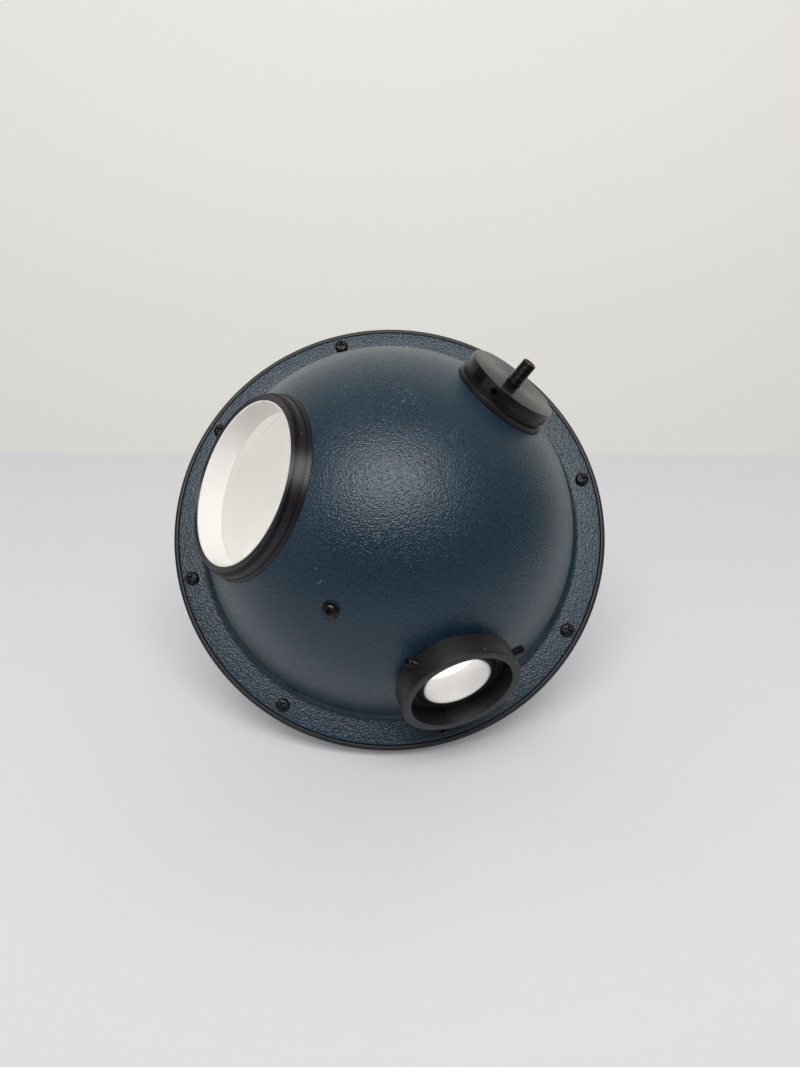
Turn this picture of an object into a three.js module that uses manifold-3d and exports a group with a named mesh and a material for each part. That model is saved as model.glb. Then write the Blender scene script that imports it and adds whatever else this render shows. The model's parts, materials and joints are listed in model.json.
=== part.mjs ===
// Integrating sphere for spectroscopy: two flanged half shells with a white lining, three front
// ports at right angles to one another, an inner baffle and a mounting boss. Millimetres, +Z up.
// It rests as it does on a bench: on the rim of its flange and on the rear dome.
import * as THREE from "three";
import { mergeVertices } from "three/addons/utils/BufferGeometryUtils.js";
import Module from "manifold-3d";

const wasm = await Module();
wasm.setup();

// ---- Driving dimensions --------------------------------------------------------------------
const DOME_R = 82.8; // outside of the painted shells
const SHELL_IN_R = 78.2;
const LINING_OUT_R = 77.4;
const LINING_IN_R = 76.2; // six inch inner diameter
const FLANGE_R = 96.0;
const FLANGE_FACE_Z = 3.6; // front flange face above the parting plane
const REAR_FACE_Z = -5.7;
const FILLET_R = 4.0;
const PART_GAP = 0.15; // each half stops this far from the parting plane
const BAND_R = 98.5; // black band round both flanges
const BAND_IN_R = 96.3;
const BAND_FRONT_Z = 3.0;
const BAND_REAR_Z = -6.0;
const WEB_IN_R = 94.6; // web of the band, held between the flanges
const WEB_HALF = 0.6;

const SCREW_CIRCLE_R = 91.7;
const SCREW_COUNT = 8;
const SCREW_PHASE = 14.6; // degrees round the flange axis
const SCREW_HEAD_R = 3.05;
const SCREW_HEAD_H = 2.1;
const SCREW_SHANK_R = 1.45;
const SCREW_HOLE_R = 1.75;
const SCREW_TIP_Z = -4.6;

// Port axes: tilt from the flange axis and turn about it, degrees.
const SAMPLE_PORT = { tilt: 49.1, turn: 172.1 };
const DETECTOR_PORT = { tilt: 60.6, turn: -68.7 };
const FIBER_PORT = { tilt: 54.9, turn: 44.7 };

// Heights are measured along a port's axis from the centre of the sphere.
const SEAT_GAP = 0.3; // all round every piece let into a shell
const SAMPLE_THROAT_R = 34.8; // outside of the white throat tube
const SAMPLE_BORE_R = 33.8;
const SAMPLE_SPIGOT_R = 36.2; // the part of the frame that goes through the shell
const SAMPLE_RING_R = 39.5;
const SAMPLE_SEAT_H = 72.5; // flat face cut in the shell
const SAMPLE_TOP_H = 79.5;

const SMALL_RING_R = 21.3; // base ring of both small port frames
const SMALL_SEAT_H = 79.8;
const SMALL_NECK_R = 19.6;
const SMALL_FOOT_H = 76.6;
const DETECTOR_SPIGOT_R = 18.3;
const FIBER_SPIGOT_R = 18.9;
const FIBER_BORE_R = 17.8;
const DETECTOR_THROAT_R = 14.0;
const DETECTOR_BORE_R = 13.2;
const DETECTOR_TOP_H = 87.1;

const COLLAR_OUT_R = 24.7;
const COLLAR_IN_R = 21.1;
const COLLAR_BASE_H = 82.7;
const COLLAR_TOP_H = 92.5;
const SET_SCREW_R = 1.75;
const SET_SCREW_H = 85.2;
const SET_SCREW_TIP_R = 20.95;
const SET_SCREW_END_R = 29.3;
const SET_SCREW_TURNS = [34, 154, 274];

const PLUG_R = 20.6;
const PLUG_BASE_H = 84.0;
const PLUG_TOP_H = 89.3;
const PLUG_SPIGOT_R = 17.5;
const PLUG_SPIGOT_H = 78.0;
const PLUG_FACE_H = 75.0;
const CONNECTOR_R = 3.15;
const CONNECTOR_TIP_H = 99.8;
const CONNECTOR_FOOT_H = 78.2;
const SHANK_R = 2.9; // the plain part of the connector, let into the plug
const SHANK_HOLE_R = 3.2;
const LOCK_SCREW_H = 86.4;

const BAFFLE_FROM_SAMPLE = 48.8; // degrees from the sample port axis towards the detector port
const BAFFLE_HOLE_R = 1.7;
const BLADE_TIP_H = 50; // how near the baffle blade comes to the centre
const BLADE_FOOT_H = 75.0;
const BLADE_HALF_WIDTH = 16;
const BOSS_R = 12.5;
const BOSS_SEAT_H = 81.3;
const BOSS_TOP_H = 91.0;
const BOSS_TAP_R = 3.1; // tapped hole for a quarter inch post
const BOSS_TAP_DEPTH = 8.2;

const SEGMENTS = 64;

// ---- Resting attitude -----------------------------------------------------------------------
// The floor touches the rear edge of the band and the rear dome, so the flange axis points up by
// REST_TILT. Flats of the faceted round are turned to the floor.
const FLAT = Math.cos(Math.PI / SEGMENTS);
const reach = Math.hypot(BAND_R * FLAT, BAND_REAR_Z);
const REST_TILT = Math.acos((DOME_R * 0.9992) / reach) + Math.atan2(-BAND_REAR_Z, BAND_R * FLAT);

// ---- Small helpers --------------------------------------------------------------------------
const deg = (a) => (a * Math.PI) / 180;
const AXIS = new THREE.Vector3(0, 0, 1);

function direction({ tilt, turn }) {
  const s = Math.sin(deg(tilt));
  return new THREE.Vector3(s * Math.cos(deg(turn)), s * Math.sin(deg(turn)), Math.cos(deg(tilt)));
}

// Frame whose +Z is the given axis and whose +X leans towards the flange axis.
function frameAlong(axis) {
  const x = AXIS.clone().addScaledVector(axis, -AXIS.dot(axis)).normalize();
  const y = axis.clone().cross(x);
  return new THREE.Matrix4().makeBasis(x, y, axis);
}

// Points on an arc in the (radius, height) plane; angles in degrees from the radius axis.
function arc(cx, cy, r, from, to, steps) {
  const points = [];
  for (let i = 0; i <= steps; i += 1) {
    const a = deg(from + ((to - from) * i) / steps);
    points.push([cx + r * Math.cos(a), cy + r * Math.sin(a)]);
  }
  return points;
}

// Solid of revolution about +Z from a profile of [radius, height] pairs.
function turned(profile, segments, closed = true) {
  const points = profile.map(([r, h]) => new THREE.Vector2(Math.abs(r) < 1e-9 ? 0 : r, h));
  if (closed) points.push(points[0].clone());
  let area = 0;
  for (let i = 0; i + 1 < points.length; i += 1) {
    area += points[i].x * points[i + 1].y - points[i + 1].x * points[i].y;
  }
  if (area < 0) points.reverse();
  const half = Math.PI / segments;
  const lathe = new THREE.LatheGeometry(points, segments, half, Math.PI * 2);
  lathe.rotateX(Math.PI / 2);
  return solid(lathe);
}

function solid(geometry) {
  const bare = geometry.clone();
  bare.deleteAttribute("normal");
  bare.deleteAttribute("uv");
  const merged = mergeVertices(bare, 1e-4);
  const made = new wasm.Manifold(
    new wasm.Mesh({
      numProp: 3,
      vertProperties: merged.getAttribute("position").array,
      triVerts: new Uint32Array(merged.index.array),
    }),
  );
  return made;
}

function rod(r, from, to, segments = 16) {
  const g = new THREE.CylinderGeometry(r, r, to - from, segments);
  g.rotateX(Math.PI / 2);
  g.translate(0, 0, (from + to) / 2);
  return solid(g);
}

function box(x0, x1, y0, y1, z0, z1) {
  const g = new THREE.BoxGeometry(x1 - x0, y1 - y0, z1 - z0);
  g.translate((x0 + x1) / 2, (y0 + y1) / 2, (z0 + z1) / 2);
  return solid(g);
}

const moved = (body, matrix) => body.transform(matrix.elements);

function all(first, ...others) {
  return others.reduce((sum, other) => sum.add(other), first);
}

function cut(body, ...tools) {
  return tools.reduce((rest, tool) => rest.subtract(tool), body);
}

// Matrix for a part that points radially out of a port axis, at a height and turn on that axis.
function radial(port, turn, height) {
  const spin = new THREE.Matrix4().makeRotationZ(deg(turn));
  const lift = new THREE.Matrix4().makeTranslation(0, 0, height);
  const lean = new THREE.Matrix4().makeRotationY(Math.PI / 2);
  return port.clone().multiply(lift).multiply(spin).multiply(lean);
}

// ---- Materials ------------------------------------------------------------------------------
const paint = (color, roughness, metalness) => ({ color, roughness, metalness });
const BLUE_PAINT = paint(0x2b4357, 0.5, 0.1);
const WHITE_LINING = paint(0xe9e6df, 0.95, 0.0);
const BLACK_ANODISE = paint(0x1d1b1f, 0.4, 0.6);
const BLACK_OXIDE = paint(0x17171a, 0.38, 0.8);
const BRASS = paint(0x8a6a3a, 0.4, 0.9);

const group = new THREE.Group();
group.name = "integrating_sphere";
const parts = [];

function part(name, body, finish) {
  const m = body.getMesh();
  const g = new THREE.BufferGeometry();
  g.setAttribute("position", new THREE.BufferAttribute(Float32Array.from(m.vertProperties), 3));
  g.setIndex(Array.from(m.triVerts));
  const flat = g.toNonIndexed();
  flat.computeVertexNormals();
  const mesh = new THREE.Mesh(flat, new THREE.MeshStandardMaterial(finish));
  mesh.name = name;
  parts.push(mesh);
  group.add(mesh);
}

// ---- Port frames of reference ---------------------------------------------------------------
const sampleAxis = direction(SAMPLE_PORT);
const detectorAxis = direction(DETECTOR_PORT);
const fiberAxis = direction(FIBER_PORT);
const sample = frameAlong(sampleAxis);
const detector = frameAlong(detectorAxis);
const fiber = frameAlong(fiberAxis);

// The baffle stands on the great circle between the sample and detector ports.
const across = detectorAxis.clone().addScaledVector(sampleAxis, -detectorAxis.dot(sampleAxis));
across.normalize();
const baffleAxis = sampleAxis
  .clone()
  .multiplyScalar(Math.cos(deg(BAFFLE_FROM_SAMPLE)))
  .addScaledVector(across, Math.sin(deg(BAFFLE_FROM_SAMPLE)));
const towardsDetector = across.clone().addScaledVector(baffleAxis, -across.dot(baffleAxis));
towardsDetector.normalize();
const baffle = new THREE.Matrix4().makeBasis(
  towardsDetector,
  baffleAxis.clone().cross(towardsDetector),
  baffleAxis,
);

// The mounting boss is opposite the fibre port.
const boss = frameAlong(fiberAxis.clone().negate());

// ---- Half shells ----------------------------------------------------------------------------
const ARC_STEPS = 9;
const INSIDE_H = 60; // a hole cut from here to OUTSIDE_H goes right through the wall
const OUTSIDE_H = 100;
// The rear dome touches the floor this far round from the flange, so one of its rings lies there.
const floorAngle = THREE.MathUtils.radToDeg(REST_TILT);

function halfProfile(faceZ, sign) {
  const centreZ = faceZ + FILLET_R * sign;
  const centreR = Math.sqrt((DOME_R + FILLET_R) ** 2 - centreZ ** 2);
  const meet = THREE.MathUtils.radToDeg(Math.asin(Math.abs(centreZ) / (DOME_R + FILLET_R)));
  let dome;
  if (sign > 0) {
    dome = arc(0, 0, DOME_R, meet, 90, ARC_STEPS);
  } else {
    const low = arc(0, 0, DOME_R, meet, floorAngle, 3);
    const high = arc(0, 0, DOME_R, floorAngle, 90, 6);
    dome = low.concat(high.slice(1));
  }
  const fillet = arc(centreR, FILLET_R, FILLET_R, -90, -180 + meet, 3);
  const inner = arc(0, 0, SHELL_IN_R, 90, 0.12, ARC_STEPS);
  const recess = WEB_HALF + 0.3;
  const rim = [
    [WEB_IN_R - 0.3, PART_GAP],
    [WEB_IN_R - 0.3, recess],
    [FLANGE_R, recess],
    [FLANGE_R, Math.abs(faceZ) - 0.3],
    [FLANGE_R - 0.3, Math.abs(faceZ)],
  ];
  const raised = fillet.map(([r, h]) => [r, h + Math.abs(faceZ)]);
  const outline = inner.slice(0, -1);
  outline.push([SHELL_IN_R, PART_GAP], ...rim, ...raised, ...dome.slice(1));
  outline[0] = [0, SHELL_IN_R];
  outline[outline.length - 1] = [0, DOME_R];
  return outline.map(([r, h]) => [r, h * sign]);
}

const screwSpots = [];
for (let i = 0; i < SCREW_COUNT; i += 1) {
  const a = deg(SCREW_PHASE + (360 * i) / SCREW_COUNT);
  const spot = [SCREW_CIRCLE_R * Math.cos(a), SCREW_CIRCLE_R * Math.sin(a)];
  screwSpots.push({ angle: a, spot });
}
const flangeHoles = screwSpots.map(({ spot }) =>
  rod(SCREW_HOLE_R, -8, 6, 8).translate([spot[0], spot[1], 0]),
);

let frontShell = turned(halfProfile(FLANGE_FACE_Z, 1), SEGMENTS, false);
frontShell = cut(
  frontShell,
  ...flangeHoles,
  moved(rod(SAMPLE_RING_R + SEAT_GAP, SAMPLE_SEAT_H, OUTSIDE_H, 48), sample),
  moved(rod(SAMPLE_SPIGOT_R + SEAT_GAP, INSIDE_H, OUTSIDE_H, 48), sample),
  moved(rod(SMALL_RING_R + SEAT_GAP, SMALL_SEAT_H, OUTSIDE_H, 36), detector),
  moved(rod(DETECTOR_SPIGOT_R + SEAT_GAP, INSIDE_H, OUTSIDE_H, 36), detector),
  moved(rod(SMALL_RING_R + SEAT_GAP, SMALL_SEAT_H, OUTSIDE_H, 36), fiber),
  moved(rod(FIBER_SPIGOT_R + SEAT_GAP, INSIDE_H, OUTSIDE_H, 36), fiber),
  moved(rod(BAFFLE_HOLE_R, INSIDE_H, OUTSIDE_H, 12), baffle),
);
part("front_shell", frontShell, BLUE_PAINT);

let rearShell = turned(halfProfile(REAR_FACE_Z, -1), SEGMENTS, false);
const bossSeat = rod(BOSS_R + SEAT_GAP, BOSS_SEAT_H - 0.1, OUTSIDE_H, 28);
rearShell = cut(rearShell, ...flangeHoles, moved(bossSeat, boss));
part("rear_shell", rearShell, BLUE_PAINT);

// ---- White lining ---------------------------------------------------------------------------
function liningProfile(sign) {
  const outline = [
    ...arc(0, 0, LINING_IN_R, 90, 0.12, 8),
    ...arc(0, 0, LINING_OUT_R, 0.12, 90, 8),
  ];
  outline[0] = [0, LINING_IN_R];
  outline[outline.length - 1] = [0, LINING_OUT_R];
  return outline.map(([r, h]) => [r, h * sign]);
}

const cavity = turned(
  arc(0, 0, LINING_IN_R, -90, 90, 16).map(([r, h]) => [Math.max(r, 0), h]),
  48,
  false,
);
let frontLining = turned(liningProfile(1), 48, false);
const sampleThroat = rod(SAMPLE_THROAT_R, INSIDE_H, SAMPLE_TOP_H - 0.2, 44);
const detectorThroat = rod(DETECTOR_THROAT_R, INSIDE_H, DETECTOR_TOP_H - 0.15, 28);
frontLining = cut(
  all(
    frontLining,
    moved(sampleThroat, sample).subtract(cavity),
    moved(detectorThroat, detector).subtract(cavity),
  ),
  moved(rod(SAMPLE_BORE_R, INSIDE_H, OUTSIDE_H, 44), sample),
  moved(rod(DETECTOR_BORE_R, INSIDE_H, OUTSIDE_H, 28), detector),
  moved(rod(FIBER_BORE_R + 0.2, INSIDE_H, OUTSIDE_H, 36), fiber),
  moved(rod(BAFFLE_HOLE_R, INSIDE_H, OUTSIDE_H, 12), baffle),
);
part("front_lining", frontLining, WHITE_LINING);
part("rear_lining", turned(liningProfile(-1), 48, false), WHITE_LINING);

// ---- Band round the flanges -----------------------------------------------------------------
const bandProfile = [
  [BAND_IN_R, BAND_REAR_Z],
  [BAND_R, BAND_REAR_Z],
  [BAND_R, BAND_FRONT_Z - 0.4],
  [BAND_R - 0.4, BAND_FRONT_Z],
  [BAND_IN_R + 0.5, BAND_FRONT_Z],
  [BAND_IN_R, BAND_FRONT_Z - 0.5],
  [BAND_IN_R, WEB_HALF],
  [WEB_IN_R, WEB_HALF],
  [WEB_IN_R, -WEB_HALF],
  [BAND_IN_R, -WEB_HALF],
];
part("flange_band", turned(bandProfile, SEGMENTS), BLACK_ANODISE);

// ---- Flange screws: cross-recessed pan heads ------------------------------------------------
function panScrew(headR, headH, shankR, length) {
  const outline = [
    [0, -length],
    [shankR, -length],
    [shankR, 0],
    [headR, 0],
    [headR, headH * 0.45],
    [headR * 0.86, headH * 0.8],
    [headR * 0.5, headH],
    [0, headH],
  ];
  const slot = headR * 0.13;
  const arm = headR * 0.55;
  return cut(
    turned(outline, 12, false),
    box(-arm, arm, -slot, slot, headH * 0.42, headH + 1),
    box(-slot, slot, -arm, arm, headH * 0.42, headH + 1),
  );
}

const RECESS_TURNS = [20, 62, 5, 48, 80, 33, 12, 70];
screwSpots.forEach(({ spot }, i) => {
  const z = FLANGE_FACE_Z + 0.05;
  const screw = panScrew(SCREW_HEAD_R, SCREW_HEAD_H, SCREW_SHANK_R, z - SCREW_TIP_Z)
    .rotate([0, 0, RECESS_TURNS[i]])
    .translate([spot[0], spot[1], z]);
  part(`flange_screw_${i + 1}`, screw, BLACK_OXIDE);
});

// ---- Sample port frame: the wide stepped ring -----------------------------------------------
const sampleProfile = [
  [35.1, 69.4],
  [SAMPLE_SPIGOT_R, 69.4],
  [SAMPLE_SPIGOT_R, SAMPLE_SEAT_H + 0.1],
  [SAMPLE_RING_R, SAMPLE_SEAT_H + 0.1],
  [SAMPLE_RING_R, 74.0],
  [SAMPLE_RING_R - 0.3, 74.25],
  [38.2, 74.25],
  [38.2, 74.6],
  [38.6, 74.6],
  [38.6, 77.25],
  [36.3, 77.25],
  [36.3, 78.9],
  [37.2, 78.9],
  [37.2, SAMPLE_TOP_H],
  [35.1, SAMPLE_TOP_H],
];
part("sample_port_frame", moved(turned(sampleProfile, 46), sample), BLACK_ANODISE);

// ---- Detector port frame, its collar and three set screws -----------------------------------
const detectorProfile = [
  [14.3, SMALL_FOOT_H],
  [DETECTOR_SPIGOT_R, SMALL_FOOT_H],
  [DETECTOR_SPIGOT_R, SMALL_SEAT_H + 0.1],
  [SMALL_RING_R, SMALL_SEAT_H + 0.1],
  [SMALL_RING_R, 82.1],
  [SMALL_RING_R - 0.3, 82.4],
  [SMALL_NECK_R, 82.4],
  [SMALL_NECK_R, 83.6],
  [20.8, 83.6],
  [20.8, 85.2],
  [20.6, 85.4],
  [17.0, 85.4],
  [14.5, DETECTOR_TOP_H],
  [14.3, DETECTOR_TOP_H],
];
part("detector_port_frame", moved(turned(detectorProfile, 36), detector), BLACK_ANODISE);

const collarProfile = [
  [COLLAR_IN_R, COLLAR_BASE_H],
  [COLLAR_OUT_R - 0.5, COLLAR_BASE_H],
  [COLLAR_OUT_R, COLLAR_BASE_H + 0.5],
  [COLLAR_OUT_R, COLLAR_TOP_H - 0.4],
  [COLLAR_OUT_R - 0.4, COLLAR_TOP_H],
  [COLLAR_IN_R + 0.4, COLLAR_TOP_H],
  [COLLAR_IN_R, COLLAR_TOP_H - 0.4],
];
const setScrewPlaces = SET_SCREW_TURNS.map((turn) => radial(detector, turn, SET_SCREW_H));
const collar = cut(
  moved(turned(collarProfile, 44), detector),
  ...setScrewPlaces.map((place) => moved(rod(SET_SCREW_R + 0.25, 15, 32, 14), place)),
);
part("detector_collar", collar, BLACK_ANODISE);

function socketScrew(r, from, to) {
  const outline = [
    [0, from],
    [r * 0.6, from],
    [r, from + 0.5],
    [r, to - 0.25],
    [r - 0.25, to],
    [0, to],
  ];
  return cut(turned(outline, 14, false), rod(r * 0.52, to - 1.6, to + 1, 6));
}
setScrewPlaces.forEach((place, i) => {
  const screw = moved(socketScrew(SET_SCREW_R, SET_SCREW_TIP_R, SET_SCREW_END_R), place);
  part(`detector_set_screw_${i + 1}`, screw, BLACK_OXIDE);
});

// ---- Fibre port: frame, plug, white face, connector and lock screw --------------------------
const fiberProfile = [
  [FIBER_BORE_R, SMALL_FOOT_H],
  [FIBER_SPIGOT_R, SMALL_FOOT_H],
  [FIBER_SPIGOT_R, SMALL_SEAT_H + 0.1],
  [SMALL_RING_R, SMALL_SEAT_H + 0.1],
  [SMALL_RING_R, 82.1],
  [SMALL_RING_R - 0.3, 82.4],
  [SMALL_NECK_R, 82.4],
  [SMALL_NECK_R, PLUG_BASE_H - 0.1],
  [FIBER_BORE_R, PLUG_BASE_H - 0.1],
];
part("fiber_port_frame", moved(turned(fiberProfile, 36), fiber), BLACK_ANODISE);

const plugProfile = [
  [SHANK_HOLE_R, PLUG_SPIGOT_H],
  [PLUG_SPIGOT_R, PLUG_SPIGOT_H],
  [PLUG_SPIGOT_R, PLUG_BASE_H],
  [PLUG_R, PLUG_BASE_H],
  [PLUG_R, PLUG_TOP_H - 0.3],
  [PLUG_R - 0.3, PLUG_TOP_H],
  [SHANK_HOLE_R + 0.4, PLUG_TOP_H],
  [SHANK_HOLE_R, PLUG_TOP_H - 0.4],
];
const lockPlace = radial(fiber, 0, LOCK_SCREW_H);
const plug = cut(moved(turned(plugProfile, 40), fiber), moved(rod(1.3, 1, 24, 12), lockPlace));
part("fiber_port_plug", plug, BLACK_ANODISE);

const plugFace = cut(
  rod(PLUG_SPIGOT_R - 0.2, PLUG_FACE_H, PLUG_SPIGOT_H - 0.1, 36),
  rod(1.2, INSIDE_H, OUTSIDE_H, 16),
);
part("fiber_plug_face", moved(plugFace, fiber), WHITE_LINING);

const threadProfile = [
  [1.75, CONNECTOR_FOOT_H],
  [SHANK_R, CONNECTOR_FOOT_H],
  [SHANK_R, PLUG_TOP_H + 0.1],
  [CONNECTOR_R, PLUG_TOP_H + 0.1],
  [CONNECTOR_R, PLUG_TOP_H + 0.9],
];
const THREAD_PITCH = 1.15;
for (let h = PLUG_TOP_H + 1.1; h < CONNECTOR_TIP_H - 1.2; h += THREAD_PITCH) {
  threadProfile.push([CONNECTOR_R - 0.45, h]);
  threadProfile.push([CONNECTOR_R, h + THREAD_PITCH / 2]);
}
threadProfile.push([CONNECTOR_R - 0.45, CONNECTOR_TIP_H - 0.5]);
threadProfile.push([CONNECTOR_R - 0.5, CONNECTOR_TIP_H]);
threadProfile.push([1.75, CONNECTOR_TIP_H]);
part("fiber_connector", moved(turned(threadProfile, 16), fiber), BLACK_OXIDE);

const sleeveProfile = [
  [0.9, CONNECTOR_FOOT_H + 0.2],
  [1.6, CONNECTOR_FOOT_H + 0.2],
  [1.6, CONNECTOR_TIP_H - 0.4],
  [0.9, CONNECTOR_TIP_H - 0.4],
];
part("fiber_connector_sleeve", moved(turned(sleeveProfile, 18), fiber), BRASS);
part("fiber_lock_screw", moved(socketScrew(1.1, SHANK_R + 0.25, 10.5), lockPlace), BLACK_OXIDE);

// ---- Baffle: bent white blade, its screw, washer and nut ------------------------------------
const FOOT_HALF = 6;
const SHEET = 1.3;
const NECK_H = BLADE_FOOT_H - 2;
const blade = cut(
  all(
    box(-FOOT_HALF, FOOT_HALF, -FOOT_HALF, FOOT_HALF, BLADE_FOOT_H - SHEET, BLADE_FOOT_H),
    box(FOOT_HALF - SHEET, FOOT_HALF, -FOOT_HALF, FOOT_HALF, NECK_H, BLADE_FOOT_H),
    box(
      FOOT_HALF - SHEET,
      FOOT_HALF,
      -BLADE_HALF_WIDTH,
      BLADE_HALF_WIDTH,
      BLADE_TIP_H,
      NECK_H + 0.2,
    ),
  ),
  rod(BAFFLE_HOLE_R, INSIDE_H, OUTSIDE_H, 12),
);
part("baffle_blade", moved(blade, baffle), WHITE_LINING);

const washer = cut(
  rod(3.6, DOME_R + 0.05, DOME_R + 0.55, 20),
  rod(BAFFLE_HOLE_R, INSIDE_H, OUTSIDE_H, 12),
);
part("baffle_washer", moved(washer, baffle), BLACK_OXIDE);

const baffleScrew = panScrew(2.7, 1.8, 1.35, 11.4).rotate([0, 0, 28]);
const baffleScrewPlace = baffle.clone().multiply(
  new THREE.Matrix4().makeTranslation(0, 0, DOME_R + 0.6),
);
part("baffle_screw", moved(baffleScrew, baffleScrewPlace), BLACK_OXIDE);

const nut = cut(
  rod(3.1, BLADE_FOOT_H - 3.4, BLADE_FOOT_H - SHEET - 0.05, 6),
  rod(BAFFLE_HOLE_R - 0.1, INSIDE_H, OUTSIDE_H, 12),
);
part("baffle_nut", moved(nut, baffle), BLACK_OXIDE);

// ---- Mounting boss with a tapped hole -------------------------------------------------------
const bossProfile = [
  [0, BOSS_SEAT_H],
  [BOSS_R, BOSS_SEAT_H],
  [BOSS_R, BOSS_TOP_H - 0.6],
  [BOSS_R - 0.6, BOSS_TOP_H],
  [BOSS_TAP_R + 0.5, BOSS_TOP_H],
  [BOSS_TAP_R, BOSS_TOP_H - 0.5],
  [BOSS_TAP_R, BOSS_TOP_H - BOSS_TAP_DEPTH],
  [0, BOSS_TOP_H - BOSS_TAP_DEPTH],
];
part("mount_boss", moved(turned(bossProfile, 28, false), boss), BLACK_ANODISE);

// ---- Into the resting frame: floor at z = 0, box centred over the origin ---------------------
const lean = new THREE.Matrix4().makeRotationX(Math.PI / 2 - REST_TILT);
for (const mesh of parts) mesh.geometry.applyMatrix4(lean);
const bounds = new THREE.Box3().setFromObject(group);
const centre = bounds.getCenter(new THREE.Vector3());
for (const mesh of parts) mesh.geometry.translate(-centre.x, -centre.y, -bounds.min.z);

export const placement = { lean: REST_TILT, shift: [-centre.x, -centre.y, -bounds.min.z] };
export default group;
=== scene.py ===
"""Integrating sphere for spectroscopy: two painted, flanged half shells with a white lining, a wide
sample port, a detector port with a clamping collar, and a fibre port closed by a plug.

Shapes are in millimetres in each piece's own frame and are placed in the shared frame in metres."""

import json
import math

import bmesh
import bpy
import numpy as np
from mathutils import Matrix, Vector


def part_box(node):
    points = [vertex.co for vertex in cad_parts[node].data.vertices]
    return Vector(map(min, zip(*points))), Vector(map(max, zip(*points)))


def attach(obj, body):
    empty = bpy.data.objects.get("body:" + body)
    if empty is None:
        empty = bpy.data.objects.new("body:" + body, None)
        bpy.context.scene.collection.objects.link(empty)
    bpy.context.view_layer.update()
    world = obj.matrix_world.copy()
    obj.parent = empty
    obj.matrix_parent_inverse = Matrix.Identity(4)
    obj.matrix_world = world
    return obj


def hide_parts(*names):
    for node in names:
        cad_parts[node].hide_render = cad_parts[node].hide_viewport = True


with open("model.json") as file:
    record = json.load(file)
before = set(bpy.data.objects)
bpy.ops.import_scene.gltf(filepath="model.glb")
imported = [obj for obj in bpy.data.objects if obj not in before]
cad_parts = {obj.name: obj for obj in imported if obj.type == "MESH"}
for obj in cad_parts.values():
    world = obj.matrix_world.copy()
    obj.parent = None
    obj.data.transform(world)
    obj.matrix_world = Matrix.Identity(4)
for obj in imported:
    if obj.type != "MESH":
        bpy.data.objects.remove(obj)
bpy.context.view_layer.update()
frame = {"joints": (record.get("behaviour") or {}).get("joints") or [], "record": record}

MM = 0.001

# ---- Driving dimensions, millimetres ---------------------------------------------------------
DOME_R = 82.8
SHELL_IN_R = 78.2
LINING_OUT_R = 77.4
LINING_IN_R = 76.2
FLANGE_R = 96.0
FLANGE_FACE = 3.6
REAR_FACE = 5.7
FILLET_R = 4.0
PART_GAP = 0.15
BAND_R = 98.5
BAND_IN_R = 96.3
BAND_FRONT = 3.0
BAND_REAR = -6.0
WEB_IN_R = 94.6
WEB_HALF = 0.6

SCREW_CIRCLE_R = 91.7
SCREW_COUNT = 8
SCREW_PHASE = 14.6  # degrees round the flange axis
SCREW_HEAD_R = 3.05
SCREW_HEAD_H = 2.1
SCREW_SHANK_R = 1.45
SCREW_TIP = -4.6
SCREW_HOLE_R = 1.75
SCREW_PITCH = 0.7
SCREW_THREAD_DEPTH = 0.22
RECESS_TURNS = [20, 62, 5, 48, 80, 33, 12, 70]

SEAT_GAP = 0.3
SAMPLE_THROAT_R = 34.8
SAMPLE_BORE_R = 33.8
SAMPLE_SPIGOT_R = 36.2
SAMPLE_RING_R = 39.5
SAMPLE_SEAT_H = 72.5
SAMPLE_TOP_H = 79.5
SMALL_RING_R = 21.3
SMALL_SEAT_H = 79.8
SMALL_NECK_R = 19.6
SMALL_FOOT_H = 76.6
DETECTOR_THROAT_R = 14.0
DETECTOR_BORE_R = 13.2
DETECTOR_SPIGOT_R = 18.3
DETECTOR_TOP_H = 87.1
COLLAR_OUT_R = 24.7
COLLAR_IN_R = 21.1
COLLAR_BASE_H = 82.7
COLLAR_TOP_H = 92.5
SET_SCREW_R = 1.75
SET_SCREW_H = 85.2
SET_SCREW_TIP_R = 20.95
SET_SCREW_END_R = 29.3
SET_SCREW_TURNS = [34, 154, 274]
SET_SCREW_PITCH = 0.6
SOCKET_DEPTH = 1.8
FIBER_SPIGOT_R = 18.9
FIBER_BORE_R = 17.8
PLUG_R = 20.6
PLUG_BASE_H = 84.0
PLUG_TOP_H = 89.3
PLUG_SPIGOT_R = 17.5
PLUG_SPIGOT_H = 78.0
PLUG_FACE_H = 75.0
CONNECTOR_R = 3.15
CONNECTOR_TIP_H = 99.8
CONNECTOR_FOOT_H = 78.2
CONNECTOR_BORE_R = 1.75
CONNECTOR_PITCH = 0.706
CONNECTOR_THREAD_DEPTH = 0.38
SHANK_R = 2.9
SHANK_HOLE_R = 3.2
SLEEVE_R = 1.6
SLEEVE_BORE_R = 0.9
LOCK_SCREW_H = 86.4
LOCK_SCREW_R = 1.1
LOCK_SCREW_END_R = 10.5
LOCK_SCREW_PITCH = 0.45
LOCK_HOLE_R = 1.3
BAFFLE_FROM_SAMPLE = 48.8  # degrees towards the detector port
BAFFLE_HOLE_R = 1.7
BAFFLE_HEAD_R = 2.7
BAFFLE_HEAD_H = 1.8
BAFFLE_SHANK_R = 1.35
BAFFLE_SHANK_LENGTH = 11.4
BLADE_SHEET = 1.3
BLADE_SEAT_H = 75
WASHER_R = 3.6
WASHER_H = 0.5
NUT_R = 3.1
BOSS_R = 12.5
BOSS_SEAT_H = 81.3
BOSS_TOP_H = 91.0
BOSS_TAP_R = 3.1
BOSS_PITCH = 1.27

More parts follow.
